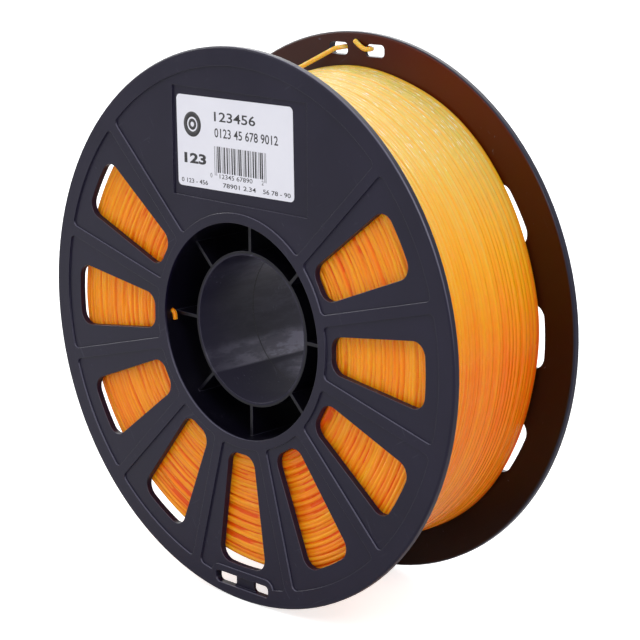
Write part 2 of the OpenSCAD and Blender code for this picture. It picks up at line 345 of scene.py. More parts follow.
class Graph:
    """A node tree being wired: short calls for adding nodes and linking sockets."""

    def __init__(self, tree: bpy.types.NodeTree) -> None:
        """Keeps the tree that the nodes go into."""
        self.tree = tree

    def feed(self, node: bpy.types.Node, **inputs: object) -> None:
        """Fills or links inputs of a node.

        Args:
            node: The node.
            **inputs: Values or sockets, under the inputs' names with _ for a space, or in_0 for a place.
        """
        for key, value in inputs.items():
            socket = node.inputs[int(key[3:]) if key.startswith("in_") else key.replace("_", " ")]
            if isinstance(value, Socket):
                self.tree.links.new(value, socket)
            else:
                socket.default_value = value

    def node(self, kind: str, settings: dict[str, object] | None = None,
             **inputs: object) -> bpy.types.Node:
        """Adds a node, sets its properties and feeds its inputs.

        Args:
            kind: Blender's name of the node type, without the ShaderNode in front.
            settings: Properties of the node.
            **inputs: Its inputs, as feed takes them.

        Returns:
            The node.
        """
        made = self.tree.nodes.new(kind if kind.startswith("Node") else "ShaderNode" + kind)
        for key, value in (settings or {}).items():
            setattr(made, key, value)
        self.feed(made, **inputs)
        return made

    def group(self, tree: bpy.types.NodeTree, **inputs: object) -> bpy.types.Node:
        """Places a shader group, with its own values."""
        return self.node("Group", {"node_tree": tree}, **inputs)

    def math(self, operation: str, *values: object) -> Socket:
        """Adds a math node for the operation and returns its result."""
        inputs = {f"in_{i}": value for i, value in enumerate(values)}
        return self.node("Math", {"operation": operation}, **inputs).outputs[0]

    def times(self, first: object, *others: object) -> Socket:
        """Multiplies all the values."""
        for value in others:
            first = self.math("MULTIPLY", first, value)
        return first

    def highest(self, first: object, *others: object) -> Socket:
        """Takes the highest of the values."""
        for value in others:
            first = self.math("MAXIMUM", first, value)
        return first

    def clamp(self, value: Socket) -> Socket:
        """Holds a value between 0 and 1."""
        return self.node("Clamp", Value=value).outputs[0]

    def ramp(self, value: Socket, low: float, high: float, to_low: object = 0.0,
             to_high: object = 1.0) -> Socket:
        """Maps low..high to to_low..to_high, smoothly and without going past the ends."""
        made = self.node("MapRange", {"interpolation_type": "SMOOTHSTEP"}, Value=value, From_Min=low,
                         From_Max=high, To_Min=to_low, To_Max=to_high)
        return made.outputs["Result"]

    def fall(self, value: Socket, low: float, high: float) -> Socket:
        """Goes from 1 down to 0, smoothly, between low and high."""
        return self.ramp(value, low, high, 1.0, 0.0)

    def varied(self, noise: Socket, middle: float, spread: float) -> Socket:
        """Lets a value vary about its middle, up to half the spread each way, as a noise does."""
        return self.ramp(noise, 0.3, 0.7, middle - spread / 2, middle + spread / 2)

    def band(self, value: Socket, rise: Span, fall: Span) -> Socket:
        """Goes up from 0 to 1 over the first span and down again over the second."""
        return self.times(self.ramp(value, *rise), self.fall(value, *fall))

    def mix(self, factor: object, first: object, second: object) -> Socket:
        """Mixes two colours, each a socket or a plain colour, and returns the result."""
        first, second = ((*side, 1.0) if isinstance(side, tuple) else side for side in (first, second))
        return self.node("Mix", {"data_type": "RGBA"}, in_0=factor, in_6=first, in_7=second).outputs[2]

    def noise(self, vector: Socket, scale: object, detail: float = 1.0, rough: float = 0.5) -> Socket:
        """Adds a noise texture on the vector, stretched where the scale is a tuple, and returns its value."""
        if isinstance(scale, tuple):
            vector, scale = self.scaled(vector, scale), 1.0
        made = self.node("TexNoise", Vector=vector, Scale=scale, Detail=detail, Roughness=rough)
        return made.outputs["Fac"]

    def scaled(self, vector: Socket, scale: Sequence[float]) -> Socket:
        """Stretches a vector by a factor on each axis."""
        return self.node("Mapping", Vector=vector, Scale=scale).outputs[0]

    def parts(self, vector: Socket) -> tuple[Socket, Socket, Socket]:
        """Takes a vector apart into X, Y and Z."""
        return tuple(self.node("SeparateXYZ", Vector=vector).outputs)

    def length(self, vector: Socket) -> Socket:
        """Length of a vector."""
        return self.node("VectorMath", {"operation": "LENGTH"}, in_0=vector).outputs["Value"]

    def dot(self, first: Socket, second: object) -> Socket:
        """Dot product of two vectors."""
        return self.node("VectorMath", {"operation": "DOT_PRODUCT"}, in_0=first, in_1=second).outputs["Value"]

    def bump(self, height: Socket, strength: float, distance: float, **inputs: object) -> Socket:
        """Turns a height into a normal."""
        return self.node("Bump", Strength=strength, Distance=distance, Height=height, **inputs).outputs[0]


class GroupSocket(Enum):
    """Kinds of socket on a shader group."""

    VALUE = "NodeSocketFloat"
    VECTOR = "NodeSocketVector"


def new_group(name: str, vector: str, values: dict[str, float],
              outputs: Sequence[str]) -> tuple[Graph, bpy.types.Node, bpy.types.Node]:
    """Starts a shader group that takes a vector and some values and gives values.

    Args:
        name: Name of the group.
        vector: Name of its vector input.
        values: Name and starting value of each other input.
        outputs: Name of each output.

    Returns:
        The graph of the group, its input node and its output node.
    """
    tree = bpy.data.node_groups.new(name, "ShaderNodeTree")
    tree.interface.new_socket(name=vector, in_out="INPUT", socket_type=GroupSocket.VECTOR.value)
    for title, start in values.items():
        socket = tree.interface.new_socket(name=title, in_out="INPUT", socket_type=GroupSocket.VALUE.value)
        socket.default_value = start
    for title in outputs:
        tree.interface.new_socket(name=title, in_out="OUTPUT", socket_type=GroupSocket.VALUE.value)
    graph = Graph(tree)
    return graph, graph.node("NodeGroupInput"), graph.node("NodeGroupOutput")


def grain_group() -> bpy.types.NodeTree:
    """Fine grain of a moulded or coated surface: cloudy patches for the gloss and a fine height.

    Returns:
        A group with a Vector and a Scale in, and Cloud and Height out.
    """
    graph, start, end = new_group("fine_grain", "Vector", {"Scale": 1.0}, ("Cloud", "Height"))
    vector, scale = start.outputs["Vector"], start.outputs["Scale"]
    graph.feed(end, Cloud=graph.noise(vector, graph.times(scale, 28.0), 3.0, 0.6),
               Height=graph.noise(vector, graph.times(scale, 2600.0)))
    return graph.tree


def scuff_group() -> bpy.types.NodeTree:
    """Thin scratches and small nicks: stretched noise, cut to its narrow crests, in three directions.

    Returns:
        A group with a Vector and an Amount in, and a Mask out.
    """
    graph, start, end = new_group("scuffs", "Vector", {"Amount": 0.5}, ("Mask",))
    vector = start.outputs["Vector"]
    crests = []
    for turn, seed in ((0.5, 3.0), (-0.9, 11.0), (2.1, 23.0)):
        turned = graph.node("Mapping", Vector=vector, Rotation=(0.3, turn, 0.2), Location=(seed, seed, seed))
        crests.append(graph.ramp(graph.noise(turned.outputs[0], (40.0, 900.0, 900.0), 1.0, 0.4), 0.70, 0.77))
    patches = graph.ramp(graph.noise(vector, 60.0, 2.0), 0.48, 0.66)
    graph.feed(end, Mask=graph.times(graph.highest(*crests), patches, start.outputs["Amount"]))
    return graph.tree


def streak_group() -> bpy.types.NodeTree:
    """Streaks, lumps and flecks of drawn plastic strand, and short dashes where glints are painted: noise on
    its own map, where U runs along it and V round it.

    Returns:
        A group with a UV in, and Streak, Lump, Fleck and Dash out.
    """
    graph, start, end = new_group("strand_streaks", "UV", {}, ("Streak", "Lump", "Fleck", "Dash"))
    vector = start.outputs["UV"]
    # The last output masks the short glints painted on the strand.
    graph.feed(end, Streak=graph.noise(vector, (12.0, 2.0, 1.0)),
               Lump=graph.noise(vector, (40.0, 1.5, 1.0), 1.5), Fleck=graph.noise(vector, (70.0, 2.0, 1.0)),
               Dash=graph.ramp(graph.noise(vector, (260.0, 5.0, 1.0)), 0.60, 0.68))
    return graph.tree


@dataclass(frozen=True)
class Groups:
    """The shader groups, built once and shared by the finishes."""

    grain: bpy.types.NodeTree
    scuffs: bpy.types.NodeTree
    streaks: bpy.types.NodeTree

    @classmethod
    def build(cls) -> "Groups":
        """Builds every group."""
        return cls(grain=grain_group(), scuffs=scuff_group(), streaks=streak_group())


def new_material(name: str) -> tuple[bpy.types.Material, Graph, bpy.types.Node]:
    """Starts a material with an empty graph that ends in a Principled shader.

    Args:
        name: Name of the material.

    Returns:
        The material, its graph and its Principled node.
    """
    material = bpy.data.materials.new(name)
    material.use_nodes = True
    material.node_tree.nodes.clear()
    graph = Graph(material.node_tree)
    shader = graph.node("BsdfPrincipled")
    graph.node("OutputMaterial", Surface=shader.outputs[0])
    return material, graph, shader


# ------------------------------------------------------------------ finishes

@dataclass(frozen=True)
class Spot:
    """Sockets that say where a point of the moulding lies."""

    place: Socket
    x: Socket
    y: Socket
    z: Socket
    depth: Socket
    from_axis: Socket
    in_bore: Socket


@dataclass(frozen=True)
class MouldedPlastic:
    """Satin moulded plastic, very dark violet-grey, with softened edges and handling scuffs. Light and shade
    are
    painted into its colour: highlights on edges and walls that face the light, orange bounce light from the
    filament on the inner faces, lit bands in the bore, and shade in the closed hub.

    A span holds the two values between which a mask goes from nothing to full, or back. A fade holds
    such a pair and the two values that it goes between. A relief is a bump's strength and its depth.
    """

    name: str = "moulded_plastic"
    dark: Colour = (0.0036, 0.0024, 0.0125)
    pale: Colour = (0.0100, 0.0076, 0.0260)
    # Pale colour of scuffs and dust specks, also used to paint highlights on edges and walls that face the
    # light.
    wear_dust_and_highlight: Colour = (0.120, 0.116, 0.165)
    # Orange bounce light from the filament, painted on the inner faces at the top; the next colour is its
    # painted shade lower down.
    painted_bounce: Colour = (0.098, 0.0090, 0.0002)
    shaded: Colour = (0.0115, 0.0026, 0.0003)
    # Pale colour of the light painted into the bore.
    painted_bore_light: Colour = (0.20, 0.19, 0.26)
    # Near black: painted shade in the closed hub, and the dark line of the seam.
    unlit: Colour = (0.0010, 0.0008, 0.0025)
    rough: float = 0.36
    rough_spread: float = 0.08
    edge_rough: float = 0.16
    shine: float = 0.26
    ior: float = 1.5
    relief: Span = (0.06, 0.05 * MM)
    edge_radius: float = 0.22 * MM
    edge_match: Span = (0.80, 0.995)
    lit_from: Triple = (0.6, 0.0, 0.8)
    lit_edge: Fade = (0.10, 0.55, 0.12, 0.85)
    lit_wall: Span = (0.55, 0.90)
    flange_face: Span = (31.6 * MM, 31.9 * MM)
    hub_mouth: Span = (31.0 * MM, 31.9 * MM)
    past_drum: Span = (40.0 * MM, 44.0 * MM)
    hub: Span = (39.2 * MM, 39.8 * MM)
    hub_painted_shade: float = 0.85
    bore: Span = (27.0 * MM, 27.4 * MM)
    seam: Span = (0.15 * MM, 0.35 * MM)
    scuffs_outside: float = 0.25
    scuffs_in_bore: float = 1.0
    scuff_share: float = 0.45
    warm_facing: Span = (0.7, 0.9)
    bounce_height: Span = (-40.0 * MM, 110.0 * MM)
    bounce_across: Fade = (-25.0 * MM, 50.0 * MM, 0.25, 1.0)
    speck_scale: Triple = (420.0, 420.0, 420.0)
    speck_crest: Span = (0.80, 0.83)
    speck_share: float = 0.5
    # Where the painted light of the bore lies, and how it is broken up.
    light_band_from: Span = (-19.6 * MM, -18.8 * MM)
    light_band_to: Span = (-14.0 * MM, -10.0 * MM)
    crown_from: Span = (9.0 * MM, 15.0 * MM)
    crown_to: Span = (19.0 * MM, 23.0 * MM)
    crown_share: float = 0.55
    patch_from: Span = (-26.0 * MM, -23.0 * MM)
    patch_to: Span = (-22.0 * MM, -20.0 * MM)
    patch_along: Span = (-5.0 * MM, 9.0 * MM)
    light_along: Fade = (-26.0 * MM, 16.0 * MM, 0.12, 1.0)
    light_band_share: float = 0.85
    light_least: float = 0.13
    bore_streak_scale: Triple = (90.0, 22.0, 90.0)
    bore_streaks: Fade = (0.34, 0.62, 0.35, 1.0)
    fine_scale: Triple = (230.0, 75.0, 230.0)
    fine: Fade = (0.40, 0.62, 0.55, 1.35)
    bore_rough: float = 0.06
    low_bore_rough: float = 0.26

    def spot(self, graph: Graph) -> Spot:
        """Wires the sockets that say where a point lies.

        Args:
            graph: The material's graph.

        Returns:
            The sockets.
        """
        place = graph.node("TexCoord").outputs["Object"]
        x, y, z = graph.parts(place)
        from_axis = graph.length(graph.scaled(place, (1.0, 0.0, 1.0)))
        return Spot(place=place, x=x, y=y, z=z, depth=graph.math("ABSOLUTE", y), from_axis=from_axis,
                    in_bore=graph.fall(from_axis, *self.bore))

    def warm_inside(self, graph: Graph, plain: Socket, spot: Spot, flat: Socket) -> Socket:
        """Paints orange bounce light from the filament on the faces that look at it, strongest at the top,
        with painted shade lower down, and dusts them with specks.

        Args:
            graph: The material's graph.
            plain: The colour so far.
            spot: Where the point lies.
            flat: The face's normal.

        Returns:
            The colour.
        """
        inward = graph.times(graph.math("SIGN", spot.y), graph.parts(flat)[1], -1.0)
        bounce_mask = graph.times(graph.ramp(inward, *self.warm_facing), graph.ramp(spot.from_axis, *self.past_drum))
        # Painted light: stronger towards the top and towards +X.
        height = graph.times(graph.math("POWER", graph.ramp(spot.z, *self.bounce_height), 2.0),
                             graph.ramp(spot.x, *self.bounce_across))
        speck = graph.ramp(graph.noise(spot.place, self.speck_scale), *self.speck_crest)
        # Painted bounce light from the filament, fading to painted shade lower down.
        plain = graph.mix(bounce_mask, plain, graph.mix(height, self.shaded, self.painted_bounce))
        return graph.mix(graph.times(bounce_mask, speck, self.speck_share), plain, self.wear_dust_and_highlight)

    def bore_light_hub_shade_and_seam(self, graph: Graph, plain: Socket, spot: Spot) -> Socket:
        """Paints pale bands of light into the bore, draws its seam, and paints shade into the closed hub. The
        painted light is the strongest of a band low in the bore, a weaker crown and a patch at the very
        bottom, broken up by streaked and by fine noise, and it fades towards the front.

        Args:
            graph: The material's graph.
            plain: The colour so far.
            spot: Where the point lies.

        Returns:
            The colour.
        """
        in_hub = graph.times(graph.fall(spot.from_axis, *self.hub), graph.fall(spot.depth, *self.hub_mouth),
                             graph.math("SUBTRACT", 1.0, spot.in_bore))
        # Painted shade in the closed hub.
        plain = graph.mix(graph.times(in_hub, self.hub_painted_shade), plain, self.unlit)
        band = graph.band(spot.z, self.light_band_from, self.light_band_to)
        crown = graph.band(spot.z, self.crown_from, self.crown_to)
        patch = graph.times(graph.band(spot.z, self.patch_from, self.patch_to),
                            graph.ramp(spot.y, *self.patch_along))
        bore_light = graph.highest(graph.times(crown, self.crown_share), band, patch)
        least = graph.ramp(spot.z, *self.light_band_from, 0.0, self.light_least)
        bore_light = graph.times(graph.math("MULTIPLY_ADD", bore_light, self.light_band_share, least),
                           graph.ramp(graph.noise(spot.place, self.bore_streak_scale, 3.0, 0.6), *self.bore_streaks),
                           graph.ramp(graph.noise(spot.place, self.fine_scale, 4.0, 0.7), *self.fine),
                           graph.ramp(spot.y, *self.light_along))
        # Painted light in the bore.
        plain = graph.mix(graph.times(bore_light, spot.in_bore), plain, self.painted_bore_light)
        return graph.mix(graph.times(graph.fall(spot.depth, *self.seam), spot.in_bore), plain, self.unlit)

    def highlights_and_scuffs(self, graph: Graph, groups: Groups, spot: Spot, flat: Socket, soft: Socket,
              edge: Socket) -> Socket:
        """Mask of the painted highlights on edges that catch the light and on the walls of the openings and
        ribs of the outer faces that look up at the light, and of the scuffs.

        Args:
            graph: The material's graph.
            groups: The shared shader groups.
            spot: Where the point lies.
            flat: The face's normal.
            soft: The normal with its edges rounded off.
            edge: Mask of the edges.

        Returns:
            The mask.
        """
        amount = graph.math("MULTIPLY_ADD", spot.in_bore, self.scuffs_in_bore - self.scuffs_outside,
                            self.scuffs_outside)
        scuffs = graph.group(groups.scuffs, Vector=spot.place, Amount=amount).outputs["Mask"]
        # Painted highlights on edges and walls that face the light.
        upward = graph.ramp(graph.dot(soft, self.lit_from), *self.lit_edge)
        walls = graph.times(graph.ramp(graph.dot(flat, self.lit_from), *self.lit_wall),
                            graph.ramp(spot.depth, *self.flange_face))
        return graph.highest(graph.times(edge, upward), graph.times(scuffs, self.scuff_share), walls)

    def material(self, groups: Groups) -> bpy.types.Material:
        """Builds the material.

        Args:
            groups: The shared shader groups.

        Returns:
            The material.
        """
        material, graph, shader = new_material(self.name)
        spot = self.spot(graph)
        grain = graph.group(groups.grain, Vector=spot.place, Scale=1.0).outputs
        soft = graph.node("Bevel", {"samples": 8}, Radius=self.edge_radius).outputs[0]
        flat = graph.node("NewGeometry").outputs["Normal"]
        edge = graph.fall(graph.dot(soft, flat), *self.edge_match)
        plain = graph.mix(grain["Cloud"], self.dark, self.pale)
        plain = self.warm_inside(graph, plain, spot, flat)
        plain = self.bore_light_hub_shade_and_seam(graph, plain, spot)
        # Painted highlights on lit edges and walls, and real scuffs.
        colour = graph.mix(self.highlights_and_scuffs(graph, groups, spot, flat, soft, edge), plain, self.wear_dust_and_highlight)
        cloud = graph.varied(grain["Cloud"], self.rough, self.rough_spread)
        bore = graph.math("MULTIPLY_ADD", graph.fall(spot.z, *self.light_band_from), self.low_bore_rough,
                          self.bore_rough)
        rough = graph.math("ADD", graph.times(spot.in_bore, bore), cloud)
        rough = graph.ramp(edge, 0.0, 1.0, rough, self.edge_rough)
        graph.feed(shader, Base_Color=colour, Roughness=rough, IOR=self.ior, Specular_IOR_Level=self.shine,
                   Normal=graph.bump(grain["Height"], *self.relief, Normal=soft))
        return material


@dataclass(frozen=True)
class Filament:
    """Glossy, slightly translucent orange plastic strand. Its tone attribute runs from deep at 0 through
    bright at 1 to lit at 2: deep is painted shade, lit is painted light, and painted glints lie in short
    dashes where the tone is high."""

    name: str = "orange_filament"
    deep: Colour = (0.86, 0.105, 0.001)
    bright: Colour = (0.95, 0.400, 0.012)
    lit: Colour = (0.75, 0.630, 0.170)
    # White of the painted glints.
    glint: Colour = (0.98, 0.96, 0.90)
    glint_tone: Span = (1.50, 1.75)
    streak: float = 0.40
    rough: float = 0.27
    rough_spread: float = 0.16
    smooth_fleck: Fade = (0.58, 0.63, 0.0, 0.24)
    shine: float = 0.20
    ior: float = 1.46
    relief: Span = (0.05, 0.10 * MM)
    coat: float = 0.06
    coat_rough: float = 0.08
    glow: float = 0.85
    glow_depth: float = 2.0 * MM
    glow_reach: Triple = (1.0, 0.38, 0.10)

    def material(self, groups: Groups) -> bpy.types.Material:
        """Builds the material.

        Args:
            groups: The shared shader groups.

        Returns:
            The material.
        """
        material, graph, shader = new_material(self.name)
        shader.subsurface_method = "RANDOM_WALK"
        strand_map = graph.node("UVMap", {"uv_map": STRAND_MAP}).outputs[0]
        streaks = graph.group(groups.streaks, UV=strand_map).outputs
        tone = graph.math("ADD", graph.node("Attribute", {"attribute_name": TONE}).outputs["Fac"],
                          graph.math("MULTIPLY_ADD", streaks["Streak"], self.streak, -self.streak / 2))
        # Deep stands for painted shade, lit for painted light.
        colour = graph.mix(graph.clamp(tone), self.deep, self.bright)
        colour = graph.mix(graph.clamp(graph.math("SUBTRACT", tone, 1.0)), colour, self.lit)
        # Painted glints.
        dashes = graph.times(streaks["Dash"], graph.ramp(tone, *self.glint_tone))
        colour = graph.mix(dashes, colour, self.glint)
        rough = graph.math("SUBTRACT", graph.varied(streaks["Fleck"], self.rough, self.rough_spread),
                           graph.ramp(streaks["Fleck"], *self.smooth_fleck))
        graph.feed(shader, Base_Color=colour, Roughness=rough, IOR=self.ior, Specular_IOR_Level=self.shine,
                   Subsurface_Weight=self.glow, Subsurface_Radius=self.glow_reach,
                   Subsurface_Scale=self.glow_depth, Coat_Weight=self.coat, Coat_Roughness=self.coat_rough,
                   Normal=graph.bump(streaks["Lump"], *self.relief))
        return material


@dataclass(frozen=True)
class Mottled:
    """A finish whose colour and gloss vary a little with the clouds of the fine grain."""

    name: str
    first: Colour
    second: Colour
    rough: float
    rough_spread: float
    grain_scale: float
    relief: Span

    def material(self, groups: Groups) -> bpy.types.Material:
        """Builds the material.

        Args:
            groups: The shared shader groups.

        Returns:
            The material.
        """
        material, graph, shader = new_material(self.name)
        place = graph.node("TexCoord").outputs["Object"]
        grain = graph.group(groups.grain, Vector=place, Scale=self.grain_scale).outputs
        graph.feed(shader, Base_Color=graph.mix(grain["Cloud"], self.first, self.second),
                   Roughness=graph.varied(grain["Cloud"], self.rough, self.rough_spread))
        if any(self.relief):
            graph.feed(shader, Normal=graph.bump(grain["Height"], *self.relief))
        return material


@dataclass(frozen=True)
class Paper(Mottled):
    """Smooth coated label paper, cool white, with a faint mottle."""

    name: str = "label_paper"
    first: Colour = (0.80, 0.80, 0.87)
    second: Colour = (0.72, 0.72, 0.80)
    rough: float = 0.42
    rough_spread: float = 0.10
    grain_scale: float = 2.0
    relief: Span = (0.05, 0.03 * MM)


@dataclass(frozen=True)
class Ink(Mottled):
    """Printed label ink, near black, a little thin in places."""

    name: str = "label_ink"
    first: Colour = (0.010, 0.009, 0.012)
    second: Colour = (0.030, 0.029, 0.034)
    rough: float = 0.50
    rough_spread: float = 0.12
    grain_scale: float = 12.0
    relief: Span = (0.0, 0.0)


# ------------------------------------------------------------------ camera and light

@dataclass(frozen=True)
class Lamp:
    """A square soft white light that faces the spool."""

    name: str
    at: Triple
    size: float
    power: float

    def add(self) -> None:
        """Adds the light."""
        data = bpy.data.lights.new(self.name, "AREA")
        data.shape = "SQUARE"
        data.size = self.size
        data.energy = self.power
        light = linked(self.name, data)
        light.location = self.at
        light.rotation_euler = (-Vector(self.at)).to_track_quat("-Z", "Y").to_euler()


@dataclass(frozen=True)
class Studio:
    """Camera, lights, floor and surroundings."""

    camera_at: Triple = (543.4 * MM, -546.2 * MM, 190.8 * MM)
    camera_forward: Triple = (-0.67913, 0.69299, -0.24198)
    camera_up: Triple = (-0.16746, 0.17469, 0.97028)
    lens_mm: float = 123.7
    sensor_mm: float = 36.0
    seen_from: float = 0.01
    seen_to: float = 50.0
    lamps: tuple[Lamp, ...] = (
        Lamp("overhead", (0.15, 0.0, 1.0), 0.40, 1.0), Lamp("front", (-0.35, -1.35, 0.45), 1.2, 2.4),
        Lamp("left", (-1.1, -0.35, 0.55), 0.5, 5.5), Lamp("right", (0.85, -0.4, 0.75), 0.40, 5.0),
        Lamp("rear", (-0.42, 0.92, 0.72), 1.3, 9.5))
    world_light: float = 0.56
    floor_size: float = 16.0
    floor_glow: float = 0.72
    far_glow: float = 0.85
    glow_span: Span = (0.3, 1.6)
    floor_colour: Colour = (0.77, 0.77, 0.78)
    floor_mottle: float = 0.99
    floor_rough: float = 0.9

    def set_camera(self) -> None:
        """Makes the camera and gives it to the scene."""
        data = bpy.data.cameras.new("camera")
        data.lens = self.lens_mm
        data.sensor_width = self.sensor_mm
        data.sensor_fit = "HORIZONTAL"
        data.clip_start = self.seen_from
        data.clip_end = self.seen_to
        forward = Vector(self.camera_forward).normalized()
        right = forward.cross(Vector(self.camera_up)).normalized()
        up = right.cross(forward)
        turn = Matrix((right, up, -forward)).transposed().to_4x4()
        camera = linked("camera", data)
        camera.matrix_world = Matrix.Translation(self.camera_at) @ turn
        bpy.context.scene.camera = camera

    def set_world(self) -> None:
        """Lights the scene evenly, and shows white to the camera, to gloss and through glass."""
        world = bpy.data.worlds.new("surroundings")
        world.use_nodes = True
        world.node_tree.nodes.clear()
        graph = Graph(world.node_tree)
        path = graph.node("LightPath").outputs
        shown = graph.highest(path["Is Camera Ray"], path["Is Transmission Ray"], path["Is Glossy Ray"])
        strength = graph.math("MULTIPLY_ADD", shown, 1.0 - self.world_light, self.world_light)
        background = graph.node("Background", Color=(1.0, 1.0, 1.0, 1.0), Strength=strength)
        graph.node("OutputWorld", Surface=background.outputs[0])
        bpy.context.scene.world = world

    def set_floor(self, level: float) -> None:
        """Adds the floor, which glows a little for the camera alone and so renders white.

        Args:
            level: Height of the floor.
        """
        half = self.floor_size / 2
        mesh = bpy.data.meshes.new("floor")
        corners = [(-half, -half), (half, -half), (half, half), (-half, half)]
        mesh.from_pydata([(*corner, level) for corner in corners], [], [(0, 1, 2, 3)])
        floor = linked("floor", mesh)
        material, graph, shader = new_material("floor")
        place = graph.node("TexCoord").outputs["Object"]
        mottle = graph.ramp(graph.noise(place, 30.0, 2.0), 0.2, 0.8)
        mottled = tuple(self.floor_mottle * part for part in self.floor_colour)
        glow = graph.ramp(graph.length(place), *self.glow_span, self.floor_glow, self.far_glow)
        seen = graph.node("LightPath").outputs["Is Camera Ray"]
        graph.feed(shader, Base_Color=graph.mix(mottle, self.floor_colour, mottled),
                   Roughness=self.floor_rough, Specular_IOR_Level=0.0,
                   Emission_Color=(1.0, 1.0, 1.0, 1.0), Emission_Strength=graph.times(seen, glow))
        mesh.materials.append(material)

    def build(self, sizes: SpoolSizes) -> None:
        """Sets up everything round the spool.

        Args:
            sizes: The spool's sizes.
        """
        self.set_camera()
        self.set_world()
        for lamp in self.lamps:
            lamp.add()
        self.set_floor(-sizes.flange_r)
        bpy.context.scene.view_settings.view_transform = "Standard"


# ------------------------------------------------------------------ the spool's pieces

@dataclass(frozen=True)
class MouldedHalves:
    """The two mouldings, which keep their solids."""

    nodes: tuple[str, ...] = ("front_half", "rear_half")

    def dress(self, material: bpy.types.Material) -> None:
        """Gives both halves their finish."""
        for name in self.nodes:
            dressed(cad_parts[name], material)


@dataclass(frozen=True)
class WoundHeights:
    """How far the wound filament stands over its even radius at its two edges, all round it.

    Each pair is an angle from +X towards +Z, in degrees, and a height in millimetres.
    """

    front: tuple[Span, ...] = (
        (0, 0.3), (60, 0.4), (120, 0.5), (150, 0.7), (180, 1.6), (205, 1.5), (232, -0.6), (258, -1.1),
        (275, 0.0), (286, 1.3), (294, 2.8), (308, 2.8), (320, 0.9), (330, 0.3))
    rear: tuple[Span, ...] = (
        (5, 0.3), (18, -0.3), (36, 1.0), (60, 2.6), (75, 1.9), (90, 2.5), (110, 2.0), (150, 1.0),
        (190, 0.8), (240, 1.2), (300, 1.5), (315, 1.1), (336, -0.5), (345, -1.0))
    front_share: float = 0.30
    rear_share: float = 0.45
    window: int = 25

    def edge(self, side: Side, angle: np.ndarray) -> np.ndarray:
        """Height of one edge at the given angles: straight lines between the pairs, rounded off by a
        running mean over about 24 degrees.

        Args:
            side: Which edge.
            angle: Angles in radians.

        Returns:
            The heights in metres.
        """
        pairs = np.array(self.front if side is Side.FRONT else self.rear)
        degrees = np.arange(-360, 720)
        height = np.interp(degrees, pairs[:, 0], pairs[:, 1], period=360.0)
        weights = np.hanning(self.window)
        height = np.convolve(height, weights / weights.sum(), mode="same")
        return np.interp(np.degrees(angle) % 360.0, degrees, height) * MM

    def at(self, angle: np.ndarray, along: np.ndarray, half_w: float) -> np.ndarray:
        """Height of the outside at the given angles and places along the axis: the edges' heights fade
        to nothing over a share of the width.

        Args:
            angle: Angles in radians.
            along: Places along the axis.
            half_w: Half the width of the winding.

        Returns:
            The heights in metres.
        """
        share = np.clip((along + half_w) / (2.0 * half_w), 0.0, 1.0)
        front = np.clip(1.0 - share / self.front_share, 0.0, 1.0)
        rear = np.clip(1.0 - (1.0 - share) / self.rear_share, 0.0, 1.0)
        front = front * front * (3.0 - 2.0 * front)
        return self.edge(Side.FRONT, angle) * front + self.edge(Side.REAR, angle) * rear


@dataclass(frozen=True)
class OuterTone:
    """Tone of the outermost turns, which carries painted light and shade."""

    level: float = 0.57
    rise: float = 1.50
    least_height: float = -0.06
    most: float = 1.70
    underside: float = 0.35
    underside_from: float = 0.30
    rear_upper: float = 0.30
    rear_all: float = -0.12
    groove: float = 0.14
    # The groove weights and edge weigh the painted shade in the grooves and beside the rear flange.
    groove_upper: float = 0.24
    shade: float = 0.06
    edge: float = 0.45
    edge_w: float = 2.0 * MM

    def at(self, angle: np.ndarray, place: np.ndarray, reach: float, across: np.ndarray,
           shade: np.ndarray) -> np.ndarray:
        """Tone of each point, painted light and shade: a level that grows with the sine of the angle up to a
        cap, and a little below the axis, plus a share that grows along the axis, less the square of the place
        across the strand, which paints shade into the grooves, less painted shade beside the rear flange.

        Args:
            angle: Angles round the axis, as a column.
            place: Places along the axis, as angles by places.
            reach: The last place.
            across: Place across its strand, from -1 to 1.
            shade: Drift of each strand's own tone.

        Returns:
            The tones, as angles by places.
        """
        height = np.sin(angle)
        upper = np.clip(height, 0.0, 1.0)
        # Painted light: paler towards the top and on the underside.
        tone = np.minimum(self.level + self.rise * np.clip(height, self.least_height, 1.0), self.most)
        tone = tone + self.underside * np.clip(-height - self.underside_from, 0.0, 1.0)
        # Painted light towards the rear on the upper side, painted shade towards it low down, and each
        # strand's own random tone.
        tone = tone + (self.rear_upper * upper + self.rear_all) * place / reach + self.shade * shade
        # Painted shade beside the rear flange.
        rear_flange_shade = np.clip((np.abs(place) - reach + self.edge_w) / self.edge_w, 0.0, 1.0) * (place > 0)
        # Painted shade in the grooves.
        return tone - (self.groove + self.groove_upper * upper) * across ** 2 - self.edge * rear_flange_shade


@dataclass(frozen=True)
class SideTone:
    """Tone of the winding's sides, with painted light and shade that make the strands stand out more where
    they lie level.
    """

    level: float = 0.69
    rise: float = 0.06
    lit: float = 0.28
    relief_least: float = 0.35
    # The next two weigh the painted shade in the grooves and next to the drum.
    groove: float = 0.70
    drum_shade: float = 0.45
    drum_span: float = 9.0 * MM
    shade: float = 0.10

    def at(self, angle: np.ndarray, over_drum: np.ndarray, across: np.ndarray,
           shade: np.ndarray) -> np.ndarray:
        """Tone of each point: a level and painted light from above, which is the place across the strand
        times the sine of the angle, less painted shade in the grooves, by the fourth power of the place
        across the strand, and on the layers next to the drum.

        Args:
            angle: Angles round the axis, as a column.
            over_drum: Heights over the drum, as angles by places.
            across: Place across its strand, from -1 to 1.
            shade: Drift of each strand's own tone.

        Returns:
            The tones, as angles by places.
        """
        height = np.sin(angle)
        relief = self.relief_least + (1.0 - self.relief_least) * np.abs(height)
        drum_shade = np.clip(1.0 - over_drum / self.drum_span, 0.0, 1.0)
        # Painted light from above on the strands' sides.
        tone = self.level + self.rise * height + self.shade * shade + self.lit * across * height
        # Painted shade in the grooves and next to the drum.
        return tone - relief * (self.groove * np.abs(across) ** 4 + self.drum_shade * drum_shade)


